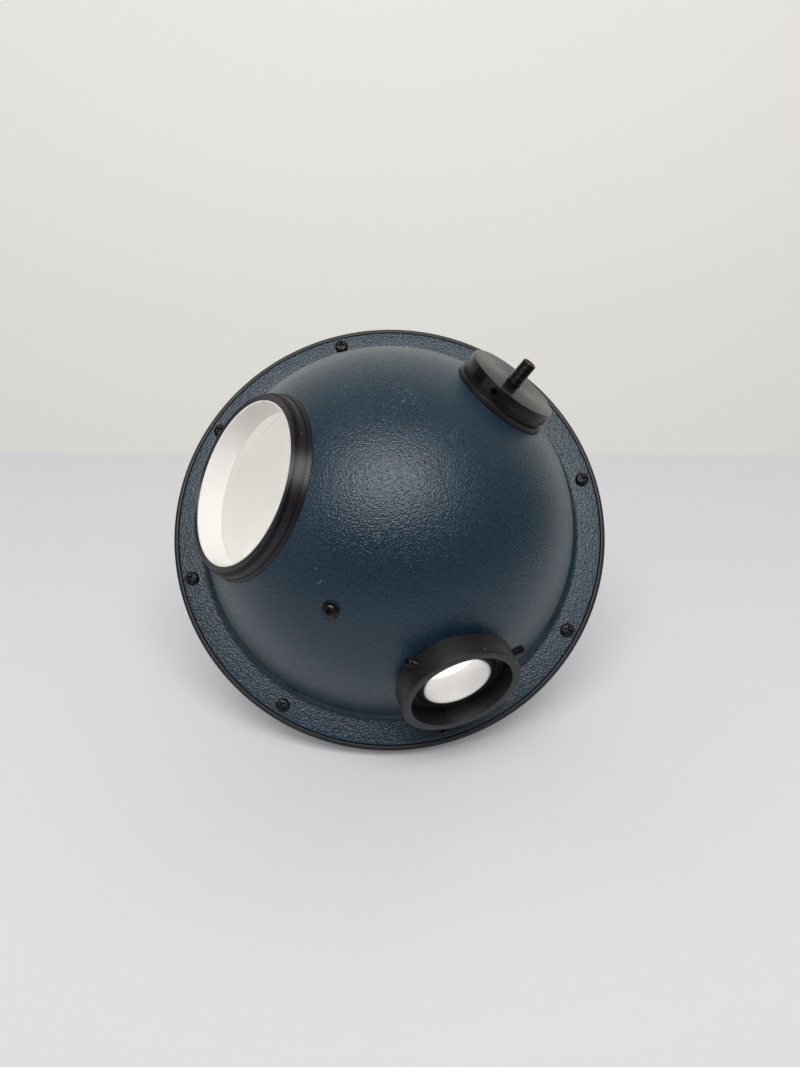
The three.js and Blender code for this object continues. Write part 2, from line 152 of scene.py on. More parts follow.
INSIDE_H = 60.0  # a hole cut from here to OUTSIDE_H goes right through the wall
OUTSIDE_H = 100.0
FINE = 256  # steps round a large turned piece
SMALL = 96  # steps round a small one
COARSE = 32  # steps round a screw hole

# ---- Frames of reference ---------------------------------------------------------------------
LEAN = math.radians(36.414)  # the flange axis above the bench
FLANGE_AXIS = Vector((0, -math.cos(LEAN), math.sin(LEAN)))
band_low, band_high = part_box("flange_band")
CENTRE = (band_low + band_high) / 2 - FLANGE_AXIS * (BAND_FRONT + BAND_REAR) / 2 * MM


def joint_axis(name):
    return Vector(next(j["axis"] for j in frame["joints"] if j["name"] == name)).normalized()


def mount_axis(name):
    return Vector(next(m["axis"] for m in frame["record"]["mounts"] if m["name"] == name)).normalized()


def placed(x, y, z):
    """Matrix from millimetre-sized local axes at the sphere's centre to the shared frame."""
    turn = Matrix((x, y, z)).transposed().to_4x4()
    return Matrix.Translation(CENTRE) @ turn


def frame_along(axis):
    """Frame whose +Z is the axis and whose +X leans towards the flange axis."""
    x = (FLANGE_AXIS - axis * FLANGE_AXIS.dot(axis)).normalized()
    return placed(x, axis.cross(x), axis)


SAMPLE_AXIS = mount_axis("sample_port_lip")
DETECTOR_AXIS = joint_axis("collar_pull")
FIBER_AXIS = joint_axis("plug_pull")
FLANGE = placed(Vector((1, 0, 0)), FLANGE_AXIS.cross(Vector((1, 0, 0))), FLANGE_AXIS)
SAMPLE = frame_along(SAMPLE_AXIS)
DETECTOR = frame_along(DETECTOR_AXIS)
FIBER = frame_along(FIBER_AXIS)
BOSS = frame_along(-FIBER_AXIS)

across = (DETECTOR_AXIS - SAMPLE_AXIS * DETECTOR_AXIS.dot(SAMPLE_AXIS)).normalized()
from_sample = math.radians(BAFFLE_FROM_SAMPLE)
BAFFLE_AXIS = SAMPLE_AXIS * math.cos(from_sample) + across * math.sin(from_sample)
blade_side = (across - BAFFLE_AXIS * across.dot(BAFFLE_AXIS)).normalized()
BAFFLE = placed(blade_side, BAFFLE_AXIS.cross(blade_side), BAFFLE_AXIS)


def radial(port, turn, height):
    """Frame whose +Z points radially out of a port's axis, at a height and turn on that axis."""
    spin = Matrix.Rotation(math.radians(turn), 4, "Z")
    lift = Matrix.Translation((0, 0, height * MM))
    return port @ lift @ spin @ Matrix.Rotation(math.pi / 2, 4, "Y")


# ---- Outlines in the (radius, height) plane --------------------------------------------------
def arc(cx, cy, r, start, end, steps):
    """Points on an arc; angles in degrees from the radius axis."""
    angles = [math.radians(start + (end - start) * i / steps) for i in range(steps + 1)]
    return [(cx + r * math.cos(a), cy + r * math.sin(a)) for a in angles]


def rounded(corners, steps=3):
    """Closed outline from (radius, height, fillet) corners; a fillet of 0 keeps the corner."""
    outline = []
    for i, (r, h, fillet) in enumerate(corners):
        here = Vector((r, h))
        if fillet <= 0:
            outline.append((r, h))
            continue
        back = (Vector(corners[i - 1][:2]) - here).normalized()
        ahead = (Vector(corners[(i + 1) % len(corners)][:2]) - here).normalized()
        half = back.angle(ahead) / 2
        centre = here + (back + ahead).normalized() * fillet / math.sin(half)
        start = here + back * fillet / math.tan(half) - centre
        end = here + ahead * fillet / math.tan(half) - centre
        first = math.atan2(start.y, start.x)
        sweep = (math.atan2(end.y, end.x) - first + math.pi) % (2 * math.pi) - math.pi
        for k in range(steps + 1):
            a = first + sweep * k / steps
            outline.append((centre.x + fillet * math.cos(a), centre.y + fillet * math.sin(a)))
    return outline


# ---- Mesh helpers ----------------------------------------------------------------------------
def as_object(name, bm, place):
    bmesh.ops.recalc_face_normals(bm, faces=bm.faces)
    mesh = bpy.data.meshes.new(name)
    bm.to_mesh(mesh)
    bm.free()
    piece = bpy.data.objects.new(name, mesh)
    bpy.context.scene.collection.objects.link(piece)
    piece.matrix_world = place
    return piece


def bridge(bm, lower, upper):
    """Faces between two rings of vertices; a ring of one vertex is a point on the axis."""
    count = max(len(lower), len(upper))
    for i in range(count):
        j = (i + 1) % count
        corners = [lower[i % len(lower)], lower[j % len(lower)]]
        corners += [upper[j % len(upper)], upper[i % len(upper)]]
        distinct = list(dict.fromkeys(corners))
        if len(distinct) > 2:
            bm.faces.new(distinct)


def ring(bm, r, h, segments):
    if r < 1e-6:
        return [bm.verts.new((0, 0, h * MM))]
    steps = [2 * math.pi * i / segments for i in range(segments)]
    return [bm.verts.new((r * MM * math.cos(a), r * MM * math.sin(a), h * MM)) for a in steps]


def lathe(name, outline, place, segments=FINE, closed=True):
    """Solid of revolution about local Z; an outline that isn't closed starts and ends on the axis."""
    bm = bmesh.new()
    rings = [ring(bm, r, h, segments) for r, h in outline]
    pairs = list(zip(rings, rings[1:]))
    if closed:
        pairs.append((rings[-1], rings[0]))
    for lower, upper in pairs:
        bridge(bm, lower, upper)
    return as_object(name, bm, place)


def rod(name, r, low, high, place, segments=SMALL):
    return lathe(name, [(0, low), (r, low), (r, high), (0, high)], place, segments, closed=False)


def block(name, size, centre, place):
    bm = bmesh.new()
    bmesh.ops.create_cube(bm, size=1.0)
    bmesh.ops.scale(bm, vec=Vector(size) * MM, verts=bm.verts)
    bmesh.ops.translate(bm, vec=Vector(centre) * MM, verts=bm.verts)
    return as_object(name, bm, place)


def apply_modifiers(piece):
    bpy.context.view_layer.update()
    graph = bpy.context.evaluated_depsgraph_get()
    mesh = bpy.data.meshes.new_from_object(piece.evaluated_get(graph))
    piece.modifiers.clear()
    piece.data = mesh


def combine(piece, operation, tools):
    """Cuts the tools from the piece, or joins them to it, and deletes the tools."""
    for tool in tools:
        step = piece.modifiers.new(operation, "BOOLEAN")
        step.operation = operation
        step.solver = "EXACT"
        step.object = tool
    apply_modifiers(piece)
    for tool in tools:
        bpy.data.objects.remove(tool)
    return piece


def carve(piece, *tools):
    return combine(piece, "DIFFERENCE", tools)


def settle(piece):
    """Moves the object's place into its mesh. Each point keeps its place in the piece's own frame,
    and the direction of the piece's axis, for the materials."""
    mesh = piece.data
    spots = np.empty(len(mesh.vertices) * 3, np.float32)
    mesh.vertices.foreach_get("co", spots)
    axis = piece.matrix_world.to_3x3() @ Vector((0, 0, 1))
    for name, values in (("own_place", spots), ("own_axis", np.tile(axis, len(mesh.vertices)))):
        layer = mesh.attributes.new(name, "FLOAT_VECTOR", "POINT")
        layer.data.foreach_set("vector", values.astype(np.float32))
    mesh.transform(piece.matrix_world)
    piece.matrix_world = Matrix.Identity(4)


def finished(piece, material, body, slot, *nodes, sharp=28):
    """Shades and paints a piece, hangs it on its body, and hides the CAD nodes that it stands for."""
    settle(piece)
    piece.data.shade_smooth()
    piece.data.set_sharp_from_angle(angle=math.radians(sharp))
    piece.data.materials.clear()
    piece.data.materials.append(material)
    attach(piece, body)
    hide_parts(*nodes)


def threaded(name, r, depth, pitch, low, high, place, bore=0.0, chamfer=0.4, segments=48):
    """Rod or tube with a real helical thread, chamfered at its top end."""
    rows = max(2, round((high - low) / pitch * 8))
    bm = bmesh.new()
    rings = []
    for k in range(rows + 1):
        h = low + (high - low) * k / rows
        loop = []
        for i in range(segments):
            turn = i / segments
            phase = (h / pitch - turn) % 1.0
            groove = depth * (1 - abs(2 * phase - 1))
            limit = r - max(0.0, chamfer - (high - h))
            here = min(r - groove, limit) * MM
            angle = 2 * math.pi * turn
            loop.append(bm.verts.new((here * math.cos(angle), here * math.sin(angle), h * MM)))
        rings.append(loop)
    if bore > 0:
        rings.append(ring(bm, bore + 0.25, high, segments))
        rings.append(ring(bm, bore, high - 0.25, segments))
        rings.append(ring(bm, bore, low, segments))
        rings.append(rings[0])
    else:
        rings.append(ring(bm, 0, high, segments))
        rings.insert(0, ring(bm, 0, low, segments))
    for lower, upper in zip(rings, rings[1:]):
        bridge(bm, lower, upper)
    return as_object(name, bm, place)


# ---- Materials -------------------------------------------------------------------------------
# Rubbed places on the dome: tilt from the flange axis, turn about it, and reach in millimetres.
SCUFFS = [(26.7, 82.4, 9), (31.7, 112.2, 5), (29.7, -126.9, 5), (12.6, -101.9, 4), (23.2, 37.9, 4)]


def material(name):
    made = bpy.data.materials.new(name)
    made.use_nodes = True
    tree = made.node_tree
    tree.nodes.clear()
    output = tree.nodes.new("ShaderNodeOutputMaterial")
    shader = tree.nodes.new("ShaderNodeBsdfPrincipled")
    tree.links.new(shader.outputs["BSDF"], output.inputs["Surface"])
    return made, tree, shader


def node(tree, kind, inputs=None, **settings):
    made = tree.nodes.new("ShaderNode" + kind)
    for key, value in settings.items():
        setattr(made, key, value)
    for socket, value in (inputs or {}).items():
        if isinstance(value, bpy.types.NodeSocket):
            tree.links.new(value, made.inputs[socket])
        else:
            made.inputs[socket].default_value = value
    return made


def own(tree, layer):
    """One of the vectors that settle() kept for each point."""
    return node(tree, "Attribute", attribute_name=layer).outputs["Vector"]


def noise(tree, vector, scale, detail=2.0, rough=0.5):
    inputs = {"Vector": vector, "Scale": scale, "Detail": detail, "Roughness": rough}
    return node(tree, "TexNoise", inputs).outputs["Fac"]


def spread(tree, value, low, high, to_low=0.0, to_high=1.0):
    inputs = {"Value": value, "From Min": low, "From Max": high, "To Min": to_low, "To Max": to_high}
    return node(tree, "MapRange", inputs, interpolation_type="SMOOTHSTEP").outputs["Result"]


def maths(tree, operation, a, b=0.0):
    return node(tree, "Math", {0: a, 1: b}, operation=operation).outputs["Value"]


def mixed(tree, factor, a, b):
    made = node(tree, "Mix", data_type="RGBA")
    for index, value in ((0, factor), (6, a), (7, b)):
        if isinstance(value, bpy.types.NodeSocket):
            tree.links.new(value, made.inputs[index])
        else:
            made.inputs[index].default_value = value
    return made.outputs[2]


def bump(tree, height, strength, distance):
    inputs = {"Height": height, "Strength": strength, "Distance": distance}
    return node(tree, "Bump", inputs).outputs["Normal"]


def scuff_spots(tree, where):
    """Mask of the few rubbed places on the dome: flecks within a short reach of each spot."""
    near = None
    for tilt, turn, reach in SCUFFS:
        t, a = math.radians(tilt), math.radians(turn)
        spot = Vector((math.sin(t) * math.cos(a), math.sin(t) * math.sin(a), math.cos(t))) * DOME_R * MM
        away = node(tree, "VectorMath", {0: where, 1: spot}, operation="DISTANCE").outputs["Value"]
        mask = spread(tree, away, 0.3 * reach * MM, reach * MM, 1, 0)
        near = mask if near is None else maths(tree, "ADD", near, mask)
    fleck = spread(tree, noise(tree, where, 620, 3.0, 0.7), 0.60, 0.66)
    return maths(tree, "MULTIPLY", near, fleck)


def blue_paint():
    """Semi-gloss textured enamel: wrinkled orange peel and light scuffs, with painted shade darkening
    the hollows of the peel.
    """
    made, tree, shader = material("blue_paint")
    where = own(tree, "own_place")
    peel = noise(tree, where, 1500, 1.0, 0.5)
    lumps = noise(tree, where, 820, 1.0)
    drift = noise(tree, where, 14, 3.0)
    scuff = scuff_spots(tree, where)
    tone = spread(tree, drift, 0.35, 0.65)
    base = mixed(tree, tone, (0.0085, 0.028, 0.048, 1), (0.0125, 0.037, 0.062, 1))
    # Painted shade: the base colour turns darker where the peel's bump is low.
    painted_pit_shade = spread(tree, peel, 0.35, 0.62)
    base = mixed(tree, painted_pit_shade, (0.0055, 0.0185, 0.032, 1), base)
    base = mixed(tree, maths(tree, "MULTIPLY", scuff, 0.5), base, (0.24, 0.30, 0.32, 1))
    tree.links.new(base, shader.inputs["Base Color"])
    rough = spread(tree, drift, 0.3, 0.7, 0.27, 0.33)
    rough = maths(tree, "ADD", rough, maths(tree, "MULTIPLY", scuff, 0.25))
    tree.links.new(rough, shader.inputs["Roughness"])
    height = maths(tree, "ADD", peel, maths(tree, "MULTIPLY", lumps, 0.6))
    tree.links.new(bump(tree, height, 1.0, 0.00025), shader.inputs["Normal"])
    shader.inputs["IOR"].default_value = 1.46
    shader.inputs["Sheen Weight"].default_value = 0.12
    shader.inputs["Sheen Roughness"].default_value = 0.4
    shader.inputs["Sheen Tint"].default_value = (0.75, 0.85, 0.82, 1)
    return made


def white_lining():
    """Matt white reflecting layer, faintly uneven."""
    made, tree, shader = material("white_lining")
    where = own(tree, "own_place")
    drift = noise(tree, where, 30, 3.0)
    tone = spread(tree, drift, 0.35, 0.65)
    base = mixed(tree, tone, (0.76, 0.745, 0.725, 1), (0.785, 0.775, 0.755, 1))
    tree.links.new(base, shader.inputs["Base Color"])
    shader.inputs["Roughness"].default_value = 0.9
    grain = noise(tree, where, 1800, 2.0)
    tree.links.new(bump(tree, grain, 0.15, 0.00008), shader.inputs["Normal"])
    return made


def turned_black(name, tone, roughness, groove, stretch, shine):
    """Black anodised aluminium with concentric turning marks about the piece's own axis.

    Groove is how deep the marks look, stretch is how far they draw a highlight out across
    themselves, and shine is the strength of the reflection."""
    made, tree, shader = material(name)
    where = own(tree, "own_place")
    split = node(tree, "SeparateXYZ", {"Vector": where})
    x, y, z = (split.outputs[axis] for axis in "XYZ")
    squares = maths(tree, "ADD", maths(tree, "MULTIPLY", x, x), maths(tree, "MULTIPLY", y, y))
    radius = maths(tree, "SQRT", squares)
    rings = node(tree, "CombineXYZ", {"X": radius, "Y": z}).outputs["Vector"]
    marks = noise(tree, rings, 3500, 3.0, 0.6)
    bands = noise(tree, rings, 420, 2.0)
    drift = noise(tree, where, 60, 3.0)
    speck = spread(tree, noise(tree, where, 900, 1.0), 0.78, 0.80)
    dull = tuple(0.72 * c for c in tone) + (1,)
    base = mixed(tree, spread(tree, drift, 0.35, 0.65), dull, tuple(tone) + (1,))
    base = mixed(tree, speck, base, (0.30, 0.30, 0.30, 1))
    tree.links.new(base, shader.inputs["Base Color"])
    shader.inputs["Metallic"].default_value = 0.15
    rough = spread(tree, bands, 0.3, 0.7, roughness - 0.05, roughness + 0.06)
    tree.links.new(rough, shader.inputs["Roughness"])
    shader.inputs["Specular IOR Level"].default_value = shine
    shader.inputs["Anisotropic"].default_value = stretch
    shader.inputs["Anisotropic Rotation"].default_value = 0.25
    place = node(tree, "NewGeometry").outputs["Position"]
    away = node(tree, "VectorMath", {0: place, 1: CENTRE}, operation="SUBTRACT").outputs["Vector"]
    pair = {0: own(tree, "own_axis"), 1: away}
    around = node(tree, "VectorMath", pair, operation="CROSS_PRODUCT").outputs["Vector"]
    tree.links.new(around, shader.inputs["Tangent"])
    tree.links.new(bump(tree, marks, groove, 0.00003), shader.inputs["Normal"])
    return made


def band_black():
    """Matt black of the band pressed round the flange's edge."""
    made, tree, shader = material("band_black")
    where = own(tree, "own_place")
    drift = noise(tree, where, 90, 3.0)
    tone = spread(tree, drift, 0.35, 0.65)
    base = mixed(tree, tone, (0.006, 0.006, 0.008, 1), (0.010, 0.010, 0.012, 1))
    tree.links.new(base, shader.inputs["Base Color"])
    tree.links.new(spread(tree, drift, 0.3, 0.7, 0.36, 0.44), shader.inputs["Roughness"])
    shader.inputs["Specular IOR Level"].default_value = 0.3
    tree.links.new(bump(tree, noise(tree, where, 1500, 2.0), 0.3, 0.00005), shader.inputs["Normal"])
    return made


def steel_black():
    """Black oxide steel of the screws, rubbed a little brighter in places."""
    made, tree, shader = material("black_steel")
    where = own(tree, "own_place")
    wear = spread(tree, noise(tree, where, 600, 3.0, 0.6), 0.50, 0.72)
    base = mixed(tree, wear, (0.014, 0.013, 0.013, 1), (0.085, 0.080, 0.072, 1))
    tree.links.new(base, shader.inputs["Base Color"])
    shader.inputs["Metallic"].default_value = 0.75
    tree.links.new(spread(tree, wear, 0, 1, 0.38, 0.24), shader.inputs["Roughness"])
    grain = noise(tree, where, 3000, 2.0)
    tree.links.new(bump(tree, grain, 0.15, 0.00003), shader.inputs["Normal"])
    return made


def ferrule_brass():
    """Darkened bronze of the fibre ferrule's sleeve."""
    made, tree, shader = material("ferrule_brass")
    where = own(tree, "own_place")
    stain = spread(tree, noise(tree, where, 900, 3.0), 0.4, 0.7)
    base = mixed(tree, stain, (0.30, 0.19, 0.10, 1), (0.14, 0.09, 0.06, 1))
    tree.links.new(base, shader.inputs["Base Color"])
    shader.inputs["Metallic"].default_value = 0.9
    tree.links.new(spread(tree, stain, 0, 1, 0.3, 0.45), shader.inputs["Roughness"])
    return made


BLUE = blue_paint()
WHITE = white_lining()
RING_BLACK = turned_black("ring_black", (0.011, 0.008, 0.012), 0.47, 0.30, 1.0, 1.0)
COLLAR_BLACK = turned_black("collar_black", (0.009, 0.0085, 0.010), 0.42, 0.25, 0.3, 0.42)
PLUG_BLACK = turned_black("plug_black", (0.004, 0.0035, 0.004), 0.28, 0.6, 0.9, 0.35)
BAND_BLACK = band_black()
STEEL = steel_black()
BRASS = ferrule_brass()


# ---- Half shells -----------------------------------------------------------------------------
def half_outline(face, sign):
    """Outline of a half shell with its flange and fillet, from the axis round to the axis."""
    centre_h = face + FILLET_R
    centre_r = math.sqrt((DOME_R + FILLET_R) ** 2 - centre_h**2)
    meet = math.degrees(math.asin(centre_h / (DOME_R + FILLET_R)))
    inner = arc(0, 0, SHELL_IN_R, 90, 0.15, 48)
    web = WEB_HALF + 0.3
    rim = [(SHELL_IN_R, PART_GAP), (WEB_IN_R - 0.3, PART_GAP), (WEB_IN_R - 0.3, web), (FLANGE_R, web)]
    rim += arc(FLANGE_R - 0.45, face - 0.45, 0.45, 0, 90, 4)
    fillet = arc(centre_r, centre_h, FILLET_R, -90, -180 + meet, 12)
    dome = arc(0, 0, DOME_R, meet, 90, 56)
    outline = inner[:-1] + rim + fillet + dome[1:]
    outline[0] = (0, SHELL_IN_R)
    outline[-1] = (0, DOME_R)
    return [(r, h * sign) for r, h in outline]


def screw_places():
    for i in range(SCREW_COUNT):
        a = math.radians(SCREW_PHASE + 360 * i / SCREW_COUNT)
        spot = (SCREW_CIRCLE_R * math.cos(a) * MM, SCREW_CIRCLE_R * math.sin(a) * MM, 0)
        yield i, FLANGE @ Matrix.Translation(spot)


def flange_holes():
    return [rod("hole", SCREW_HOLE_R, -8, 6, place, COARSE) for _, place in screw_places()]


def half_shells():
    front = lathe("front_half_shell", half_outline(FLANGE_FACE, 1), FLANGE, closed=False)
    carve(
        front,
        rod("seat", SAMPLE_RING_R + SEAT_GAP, SAMPLE_SEAT_H, OUTSIDE_H, SAMPLE, FINE),
        rod("hole", SAMPLE_SPIGOT_R + SEAT_GAP, INSIDE_H, OUTSIDE_H, SAMPLE, FINE),
        rod("seat", SMALL_RING_R + SEAT_GAP, SMALL_SEAT_H, OUTSIDE_H, DETECTOR, FINE),
        rod("hole", DETECTOR_SPIGOT_R + SEAT_GAP, INSIDE_H, OUTSIDE_H, DETECTOR, FINE),
        rod("seat", SMALL_RING_R + SEAT_GAP, SMALL_SEAT_H, OUTSIDE_H, FIBER, FINE),
        rod("hole", FIBER_SPIGOT_R + SEAT_GAP, INSIDE_H, OUTSIDE_H, FIBER, FINE),
        rod("hole", BAFFLE_HOLE_R, INSIDE_H, OUTSIDE_H, BAFFLE, COARSE),
        *flange_holes(),
    )
    finished(front, BLUE, "sphere", "blue_paint", "front_shell")
    rear = lathe("rear_half_shell", half_outline(REAR_FACE, -1), FLANGE, closed=False)
    carve(rear, rod("seat", BOSS_R + SEAT_GAP, BOSS_SEAT_H - 0.1, OUTSIDE_H, BOSS), *flange_holes())
    finished(rear, BLUE, "sphere", "blue_paint", "rear_shell")


# ---- White lining ----------------------------------------------------------------------------
def lining_bore(r, top, place):
    """Tool that cuts a port's bore through the lining and rounds the throat's lip."""
    lip = 0.45
    outline = [(0, INSIDE_H), (r, INSIDE_H)]
    outline += [(r + lip - x, h) for x, h in arc(0, top - lip, lip, 0, 90, 5)]
    outline += [(r + lip, OUTSIDE_H), (0, OUTSIDE_H)]
    return lathe("bore", outline, place, closed=False)


def linings():
    top_of_sample = SAMPLE_TOP_H - 0.2
    top_of_detector = DETECTOR_TOP_H - 0.15
    rim = LINING_OUT_R * math.sin(math.radians(0.1))
    dome = [(0, rim)] + arc(0, 0, LINING_OUT_R, 0.1, 90, 48)
    dome[-1] = (0, LINING_OUT_R)
    front = lathe("front_lining_wall", dome, FLANGE, closed=False)
    throats = [
        rod("throat", SAMPLE_THROAT_R, INSIDE_H, top_of_sample, SAMPLE, FINE),
        rod("throat", DETECTOR_THROAT_R, INSIDE_H, top_of_detector, DETECTOR, FINE),
    ]
    combine(front, "UNION", throats)
    cavity = [(0, -LINING_IN_R)] + arc(0, 0, LINING_IN_R, -90, 90, 96)[1:-1] + [(0, LINING_IN_R)]
    carve(
        front,
        lathe("cavity", cavity, FLANGE, closed=False),
        lining_bore(SAMPLE_BORE_R, top_of_sample, SAMPLE),
        lining_bore(DETECTOR_BORE_R, top_of_detector, DETECTOR),
        rod("hole", FIBER_BORE_R + 0.2, INSIDE_H, OUTSIDE_H, FIBER, FINE),
        rod("hole", BAFFLE_HOLE_R, INSIDE_H, OUTSIDE_H, BAFFLE, COARSE),
    )
    finished(front, WHITE, "sphere", "white_lining", "front_lining")

    shell = arc(0, 0, LINING_IN_R, 90, 0.1, 48) + arc(0, 0, LINING_OUT_R, 0.1, 90, 48)
    shell[0] = (0, LINING_IN_R)
    shell[-1] = (0, LINING_OUT_R)
    rear = lathe("rear_lining_wall", [(r, -h) for r, h in shell], FLANGE, closed=False)
    finished(rear, WHITE, "sphere", "white_lining", "rear_lining")


# ---- Band round the flanges ------------------------------------------------------------------
def flange_band():
    corners = [
        (BAND_IN_R, BAND_REAR, 0.3),
        (BAND_R, BAND_REAR, 0.5),
        (BAND_R, BAND_FRONT - 1.0, 0.4),
        (BAND_R - 1.1, BAND_FRONT, 0.15),
        (BAND_IN_R + 0.3, BAND_FRONT, 0.1),
        (BAND_IN_R, BAND_FRONT - 0.4, 0.1),
        (BAND_IN_R, WEB_HALF, 0),
        (WEB_IN_R, WEB_HALF, 0),
        (WEB_IN_R, -WEB_HALF, 0),
        (BAND_IN_R, -WEB_HALF, 0),
    ]
    band = lathe("flange_edge_band", rounded(corners), FLANGE, 384)
    finished(band, BAND_BLACK, "sphere", "black_anodised", "flange_band")


# ---- Screws ----------------------------------------------------------------------------------
def wedge(name, arm, half_top, half_foot, low, high, place):
    """Tapered blade of a cross-recess tool, long way along X."""
    bm = bmesh.new()
    corners = []
    for h, reach, half in ((low, arm * 0.45, half_foot), (high, arm, half_top)):
        spots = ((-reach, -half), (reach, -half), (reach, half), (-reach, half))
        corners.append([bm.verts.new((x * MM, y * MM, h * MM)) for x, y in spots])
    bridge(bm, *corners)
    bm.faces.new(corners[0])
    bm.faces.new(corners[1])
    return as_object(name, bm, place)


def pan_screw(name, head_r, head_h, shank_r, length, place):
    """Pan-head screw with a cross recess and a threaded shank."""
    dome = [(head_r, 0.12), (head_r, head_h * 0.42)]
    dome += [(head_r * math.cos(a) ** 0.6, head_h * (0.42 + 0.58 * math.sin(a)))
             for a in (math.radians(10 * k) for k in range(1, 9))]
    outline = [(0, 0), (head_r - 0.12, 0)] + dome + [(0, head_h)]
    head = lathe(name, outline, Matrix.Identity(4), 64, closed=False)
    low, high = head_h * 0.3, head_h + 0.3
    arm = head_r * 0.62
    blades = [
        wedge("blade", arm, head_r * 0.15, head_r * 0.09, low, high, Matrix.Rotation(turn, 4, "Z"))
        for turn in (0, math.pi / 2)
    ]
    cone = lathe(
        "cone", [(0, low - 0.2), (head_r * 0.2, low + 0.25), (head_r * 0.33, high), (0, high)],
        Matrix.Identity(4), 24, closed=False,
    )
    carve(head, *blades, cone)
    shank = threaded(
        "shank", shank_r, SCREW_THREAD_DEPTH, SCREW_PITCH, -length, 0.05, Matrix.Identity(4), chamfer=0.0
    )
    combine(head, "UNION", [shank])
    head.matrix_world = place
    return head


def flange_screws():
    seat = FLANGE_FACE + 0.05
    shape = None
    for i, place in screw_places():
        turn = Matrix.Rotation(math.radians(RECESS_TURNS[i]), 4, "Z")
        here = place @ Matrix.Translation((0, 0, seat * MM)) @ turn
        name = f"flange_pan_screw_{i + 1}"
        if shape is None:
            screw = pan_screw(name, SCREW_HEAD_R, SCREW_HEAD_H, SCREW_SHANK_R, seat - SCREW_TIP, here)
            shape = screw.data.copy()
        else:
            screw = bpy.data.objects.new(name, shape.copy())
            bpy.context.scene.collection.objects.link(screw)
            screw.matrix_world = here
        finished(screw, STEEL, "sphere", "black_steel", f"flange_screw_{i + 1}")


def socket_screw(name, r, low, high, place, pitch=SET_SCREW_PITCH):
    """Headless screw with a hexagon socket in its outer end."""
    body = threaded(name, r, 0.2, pitch, low, high, place, chamfer=0.35)
    socket = rod("socket", r * 0.55, high - SOCKET_DEPTH, high + 1, place, 6)
    return carve(body, socket)


# ---- Sample port -----------------------------------------------------------------------------
def sample_port():
    corners = [
        (35.1, 69.4, 0),
        (SAMPLE_SPIGOT_R, 69.4, 0),
        (SAMPLE_SPIGOT_R, SAMPLE_SEAT_H + 0.1, 0),
        (SAMPLE_RING_R, SAMPLE_SEAT_H + 0.1, 0.1),
        (SAMPLE_RING_R, 74.1, 0.25),
        (38.2, 74.1, 0.1),
        (38.2, 74.6, 0),
        (38.6, 74.6, 0.1),
        (38.6, 77.25, 0.25),
        (36.3, 77.25, 0),
        (36.3, 78.9, 0),
        (37.2, 78.9, 0.1),
        (37.2, SAMPLE_TOP_H, 0.2),
        (35.1, SAMPLE_TOP_H, 0.2),
    ]
    piece = lathe("sample_port_stepped_ring", rounded(corners), SAMPLE, 320)
    finished(piece, RING_BLACK, "sphere", "black_anodised", "sample_port_frame")


# ---- Detector port ---------------------------------------------------------------------------
def detector_port():
    corners = [
        (14.3, SMALL_FOOT_H, 0),
        (DETECTOR_SPIGOT_R, SMALL_FOOT_H, 0),
        (DETECTOR_SPIGOT_R, SMALL_SEAT_H + 0.1, 0),
        (SMALL_RING_R, SMALL_SEAT_H + 0.1, 0.1),
        (SMALL_RING_R, 82.4, 0.3),
        (SMALL_NECK_R, 82.4, 0),
        (SMALL_NECK_R, 83.6, 0),
        (20.8, 83.6, 0.1),
        (20.8, 85.4, 0.2),
        (17.0, 85.4, 0.5),
        (14.6, DETECTOR_TOP_H, 0.15),
        (14.3, DETECTOR_TOP_H, 0.1),
    ]
    piece = lathe("detector_port_ring", rounded(corners), DETECTOR)
    finished(piece, COLLAR_BLACK, "sphere", "black_anodised", "detector_port_frame")

    corners = [
        (COLLAR_IN_R, COLLAR_BASE_H, 0.3),
        (COLLAR_OUT_R, COLLAR_BASE_H, 0.6),
        (COLLAR_OUT_R, COLLAR_TOP_H, 0.35),
        (COLLAR_IN_R, COLLAR_TOP_H, 0.35),
    ]
    collar = lathe("detector_clamp_collar", rounded(corners, 4), DETECTOR)
    places = [radial(DETECTOR, turn, SET_SCREW_H) for turn in SET_SCREW_TURNS]
    carve(collar, *[rod("hole", SET_SCREW_R + 0.25, 15, 32, place, COARSE) for place in places])
    finished(collar, COLLAR_BLACK, "collar", "black_anodised", "detector_collar")
    for i, place in enumerate(places, 1):
        name = f"collar_set_screw_{i}"
        screw = socket_screw(name, SET_SCREW_R, SET_SCREW_TIP_R, SET_SCREW_END_R, place)
        finished(screw, STEEL, f"set_screw_{i}", "black_steel", f"detector_set_screw_{i}")


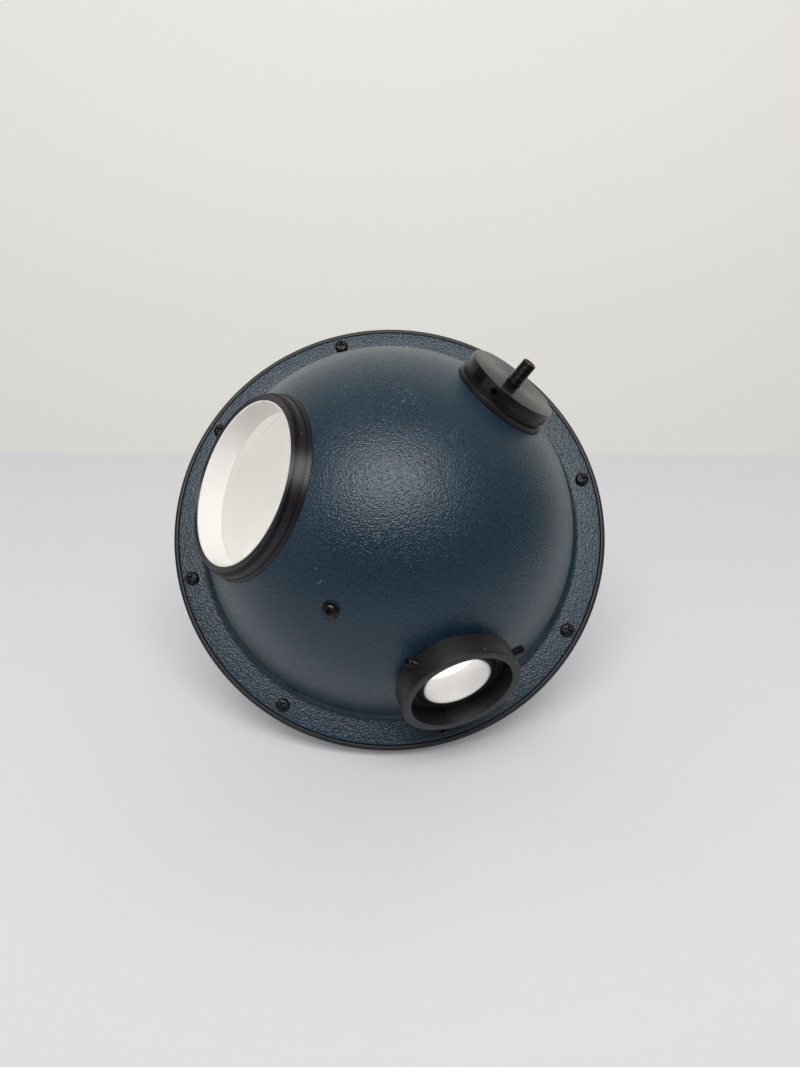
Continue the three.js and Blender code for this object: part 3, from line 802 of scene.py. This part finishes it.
# ---- Fibre port ------------------------------------------------------------------------------
def fiber_port():
    corners = [
        (FIBER_BORE_R, SMALL_FOOT_H, 0),
        (FIBER_SPIGOT_R, SMALL_FOOT_H, 0),
        (FIBER_SPIGOT_R, SMALL_SEAT_H + 0.1, 0),
        (SMALL_RING_R, SMALL_SEAT_H + 0.1, 0.1),
        (SMALL_RING_R, 82.4, 0.3),
        (SMALL_NECK_R, 82.4, 0),
        (SMALL_NECK_R, PLUG_BASE_H - 0.1, 0),
        (FIBER_BORE_R, PLUG_BASE_H - 0.1, 0.1),
    ]
    piece = lathe("fiber_port_ring", rounded(corners), FIBER)
    finished(piece, COLLAR_BLACK, "sphere", "black_anodised", "fiber_port_frame")

    corners = [
        (SHANK_HOLE_R, PLUG_SPIGOT_H, 0),
        (PLUG_SPIGOT_R, PLUG_SPIGOT_H, 0.3),
        (PLUG_SPIGOT_R, PLUG_BASE_H, 0),
        (PLUG_R, PLUG_BASE_H, 0.3),
        (PLUG_R, PLUG_TOP_H, 0.3),
        (SHANK_HOLE_R + 0.4, PLUG_TOP_H, 0),
        (SHANK_HOLE_R, PLUG_TOP_H - 0.4, 0),
    ]
    lock = radial(FIBER, 0, LOCK_SCREW_H)
    plug = lathe("fiber_port_plug_disc", rounded(corners), FIBER)
    carve(plug, rod("hole", LOCK_HOLE_R, 1, 24, lock, COARSE))
    finished(plug, PLUG_BLACK, "plug", "black_anodised", "fiber_port_plug")

    corners = [
        (1.2, PLUG_FACE_H, 0.1),
        (PLUG_SPIGOT_R - 0.2, PLUG_FACE_H, 0.5),
        (PLUG_SPIGOT_R - 0.2, PLUG_SPIGOT_H - 0.1, 0),
        (1.2, PLUG_SPIGOT_H - 0.1, 0),
    ]
    face = lathe("fiber_plug_white_face", rounded(corners), FIBER)
    finished(face, WHITE, "plug", "white_lining", "fiber_plug_face")

    barrel = threaded(
        "fiber_connector_barrel", CONNECTOR_R, CONNECTOR_THREAD_DEPTH, CONNECTOR_PITCH,
        PLUG_TOP_H + 0.1, CONNECTOR_TIP_H, FIBER, bore=CONNECTOR_BORE_R, chamfer=0.45, segments=64,
    )
    shank = lathe(
        "shank",
        [
            (CONNECTOR_BORE_R, CONNECTOR_FOOT_H),
            (SHANK_R, CONNECTOR_FOOT_H),
            (SHANK_R, PLUG_TOP_H + 0.3),
            (CONNECTOR_BORE_R, PLUG_TOP_H + 0.3),
        ],
        FIBER,
        64,
    )
    combine(barrel, "UNION", [shank])
    finished(barrel, STEEL, "connector", "black_steel", "fiber_connector")

    corners = [
        (SLEEVE_BORE_R, CONNECTOR_FOOT_H + 0.2, 0.1),
        (SLEEVE_R, CONNECTOR_FOOT_H + 0.2, 0.1),
        (SLEEVE_R, CONNECTOR_TIP_H - 0.4, 0.15),
        (SLEEVE_BORE_R, CONNECTOR_TIP_H - 0.4, 0.15),
    ]
    sleeve = lathe("fiber_ferrule_sleeve", rounded(corners), FIBER, 48)
    finished(sleeve, BRASS, "connector", "brass_ferrule", "fiber_connector_sleeve")
    screw = socket_screw(
        "fiber_plug_lock_screw", LOCK_SCREW_R, SHANK_R + 0.25, LOCK_SCREW_END_R, lock, LOCK_SCREW_PITCH
    )
    finished(screw, STEEL, "lock_screw", "black_steel", "fiber_lock_screw")


# ---- Baffle ----------------------------------------------------------------------------------
def baffle():
    sheet = BLADE_SHEET
    foot = block("baffle_bent_blade", (12, 12, sheet), (0, 0, BLADE_SEAT_H - sheet / 2), BAFFLE)
    blade = block("blade", (sheet, 32, 23.2), (6 - sheet / 2, 0, 61.6), BAFFLE)
    neck = block("neck", (sheet, 12, 2), (6 - sheet / 2, 0, BLADE_SEAT_H - 1), BAFFLE)
    combine(foot, "UNION", [blade, neck])
    carve(foot, rod("hole", BAFFLE_HOLE_R, INSIDE_H, OUTSIDE_H, BAFFLE, COARSE))
    edge = foot.modifiers.new("edge", "BEVEL")
    edge.width = 0.35 * MM
    edge.segments = 3
    edge.limit_method = "ANGLE"
    apply_modifiers(foot)
    finished(foot, WHITE, "sphere", "white_lining", "baffle_blade")

    low = DOME_R + 0.05
    high = low + WASHER_H
    corners = [
        (BAFFLE_HOLE_R, low, 0.1),
        (WASHER_R, low, 0.1),
        (WASHER_R, high, 0.15),
        (BAFFLE_HOLE_R, high, 0.1),
    ]
    washer = lathe("baffle_flat_washer", rounded(corners), BAFFLE, SMALL)
    finished(washer, STEEL, "sphere", "black_steel", "baffle_washer")
    turn = Matrix.Rotation(math.radians(28), 4, "Z")
    place = BAFFLE @ Matrix.Translation((0, 0, (DOME_R + 0.6) * MM)) @ turn
    screw = pan_screw(
        "baffle_pan_screw", BAFFLE_HEAD_R, BAFFLE_HEAD_H, BAFFLE_SHANK_R, BAFFLE_SHANK_LENGTH, place
    )
    finished(screw, STEEL, "sphere", "black_steel", "baffle_screw")
    nut = rod("baffle_hex_nut", NUT_R, 71.6, 73.65, BAFFLE, 6)
    carve(nut, rod("hole", 1.6, INSIDE_H, OUTSIDE_H, BAFFLE, COARSE))
    finished(nut, STEEL, "sphere", "black_steel", "baffle_nut")


# ---- Mounting boss ---------------------------------------------------------------------------
def mounting_boss():
    outline = [(0, BOSS_SEAT_H), (BOSS_R, BOSS_SEAT_H)]
    outline += arc(BOSS_R - 0.6, BOSS_TOP_H - 0.6, 0.6, 0, 90, 5)
    outline += [(BOSS_TAP_R + 0.5, BOSS_TOP_H), (BOSS_TAP_R, BOSS_TOP_H - 0.5)]
    height = BOSS_TOP_H - 0.5 - BOSS_PITCH / 2
    while height > BOSS_TOP_H - 7.5:
        outline += [(BOSS_TAP_R + 0.3, height), (BOSS_TAP_R, height - BOSS_PITCH / 2)]
        height -= BOSS_PITCH
    outline += [(BOSS_TAP_R, BOSS_TOP_H - 8.2), (0, BOSS_TOP_H - 8.2)]
    boss = lathe("mounting_post_boss", outline, BOSS, SMALL, closed=False)
    finished(boss, COLLAR_BLACK, "sphere", "black_anodised", "mount_boss")


half_shells()
linings()
flange_band()
flange_screws()
sample_port()
detector_port()
fiber_port()
baffle()
mounting_boss()


# ---- Bench, wall, light and camera -----------------------------------------------------------
def plain(name, color, roughness, grain, glow=0.0, reach=None):
    """Plain matt surface that glows with a light of its own; with a reach it falls off to a darker tone
    that far from the object, a painted pool of light round it.
    """
    made, tree, shader = material(name)
    shader.inputs["Emission Strength"].default_value = glow
    shader.inputs["Roughness"].default_value = roughness
    where = node(tree, "TexCoord").outputs["Object"]
    if reach is None:
        shader.inputs["Base Color"].default_value = color
        shader.inputs["Emission Color"].default_value = color
    else:
        # Painted pool of light: the colour falls to a fifth of itself away from the sphere.
        pair = {0: where, 1: (0, 0.18, 0)}
        away = node(tree, "VectorMath", pair, operation="DISTANCE").outputs["Value"]
        painted_falloff_dark = tuple(0.2 * c for c in color[:3]) + (1,)
        tone = mixed(tree, spread(tree, away, *reach), color, painted_falloff_dark)
        tree.links.new(tone, shader.inputs["Base Color"])
        tree.links.new(tone, shader.inputs["Emission Color"])
    fine = noise(tree, where, grain, 3.0)
    tree.links.new(bump(tree, fine, 0.12, 0.0004), shader.inputs["Normal"])
    return made


def sheet_of(name, corners, finish):
    bm = bmesh.new()
    bm.faces.new([bm.verts.new(c) for c in corners])
    mesh = bpy.data.meshes.new(name)
    bm.to_mesh(mesh)
    bm.free()
    made = bpy.data.objects.new(name, mesh)
    bpy.context.scene.collection.objects.link(made)
    mesh.materials.append(finish)


BENCH_Z = -0.0002
BENCH_BACK = 0.336
BENCH_SIDE = 2
WALL_Y = 1.1
WALL_SIDE = 3
WALL_FOOT = -1.2
WALL_TOP = 2.6
# The bench's glow is painted light that lifts the shade under the sphere.
sheet_of(
    "bench",
    [
        (-BENCH_SIDE, -BENCH_SIDE, BENCH_Z),
        (BENCH_SIDE, -BENCH_SIDE, BENCH_Z),
        (BENCH_SIDE, BENCH_BACK, BENCH_Z),
        (-BENCH_SIDE, BENCH_BACK + 0.03, BENCH_Z),
    ],
    plain("bench_cloth", (0.55, 0.55, 0.575, 1), 0.85, 900, 0.25, (0.35, 0.68)),
)
sheet_of(
    "wall",
    [
        (-WALL_SIDE, WALL_Y, WALL_FOOT),
        (WALL_SIDE, WALL_Y, WALL_FOOT),
        (WALL_SIDE, WALL_Y, WALL_TOP),
        (-WALL_SIDE, WALL_Y, WALL_TOP),
    ],
    plain("wall_paint", (0.80, 0.79, 0.75, 1), 0.9, 120, 0.47),
)


def area_light(name, towards, distance, size, energy, color=(1, 1, 1)):
    """Soft light of a given width and height that shines on the sphere from a direction."""
    light = bpy.data.lights.new(name, "AREA")
    light.shape = "RECTANGLE"
    light.size, light.size_y = size
    light.energy = energy
    light.color = color
    lamp = bpy.data.objects.new(name, light)
    bpy.context.scene.collection.objects.link(lamp)
    direction = Vector(towards).normalized()
    lamp.location = CENTRE + direction * distance
    lamp.rotation_mode = "QUATERNION"
    lamp.rotation_quaternion = direction.to_track_quat("Z", "Y")


area_light("key", (0.01, -0.58, 0.81), 1.6, (1.45, 0.75), 26, (1, 0.99, 0.975))
area_light("left_strip", (-0.89, -0.36, 0.29), 1.5, (0.07, 0.5), 0.45)
area_light("left_window", (-0.81, -0.56, 0.22), 1.5, (0.35, 0.5), 0.45)


def inner_light(name, place, energy, size):
    """Small light inside the sphere, for the light that a real lining mixes with far less loss."""
    light = bpy.data.lights.new(name, "POINT")
    light.energy = energy
    light.shadow_soft_size = size
    lamp = bpy.data.objects.new(name, light)
    lamp.location = place
    lamp.visible_camera = False
    bpy.context.scene.collection.objects.link(lamp)


inner_light("inner_fill", CENTRE + blade_side * 0.03 - FLANGE_AXIS * 0.02, 0.071, 0.02)
inner_light("detector_throat_fill", CENTRE + DETECTOR_AXIS * 0.060, 0.011, 0.005)


def room():
    """Dim room round the bench: pale overhead, darker towards the horizon."""
    world = bpy.data.worlds.new("room")
    world.use_nodes = True
    tree = world.node_tree
    background = tree.nodes["Background"]
    direction = node(tree, "TexCoord").outputs["Generated"]
    height = node(tree, "SeparateXYZ", {"Vector": direction}).outputs["Z"]
    rise = spread(tree, height, 0.0, 0.8)
    shade = mixed(tree, rise, (0.06, 0.06, 0.065, 1), (0.27, 0.27, 0.265, 1))
    tree.links.new(shade, background.inputs["Color"])
    background.inputs["Strength"].default_value = 1.0
    bpy.context.scene.world = world


room()
bpy.context.scene.view_settings.view_transform = "Standard"

PITCH = math.radians(24.3)  # how far the camera looks down
CAMERA_DISTANCE = 0.396
CAMERA_RIGHT = 0.00478
CAMERA_DOWN = 0.0016
view = Vector((0, math.cos(PITCH), -math.sin(PITCH)))
up = Vector((0, math.sin(PITCH), math.cos(PITCH)))
camera = bpy.data.objects.new("camera", bpy.data.cameras.new("camera"))
camera.data.sensor_width = 36
camera.data.lens = 29.02
camera.data.clip_start = 0.01
aim = CENTRE + Vector((1, 0, 0)) * CAMERA_RIGHT - up * CAMERA_DOWN
camera.location = aim - view * CAMERA_DISTANCE
camera.rotation_euler = (math.pi / 2 - PITCH, 0, 0)
bpy.context.scene.collection.objects.link(camera)
bpy.context.scene.camera = camera
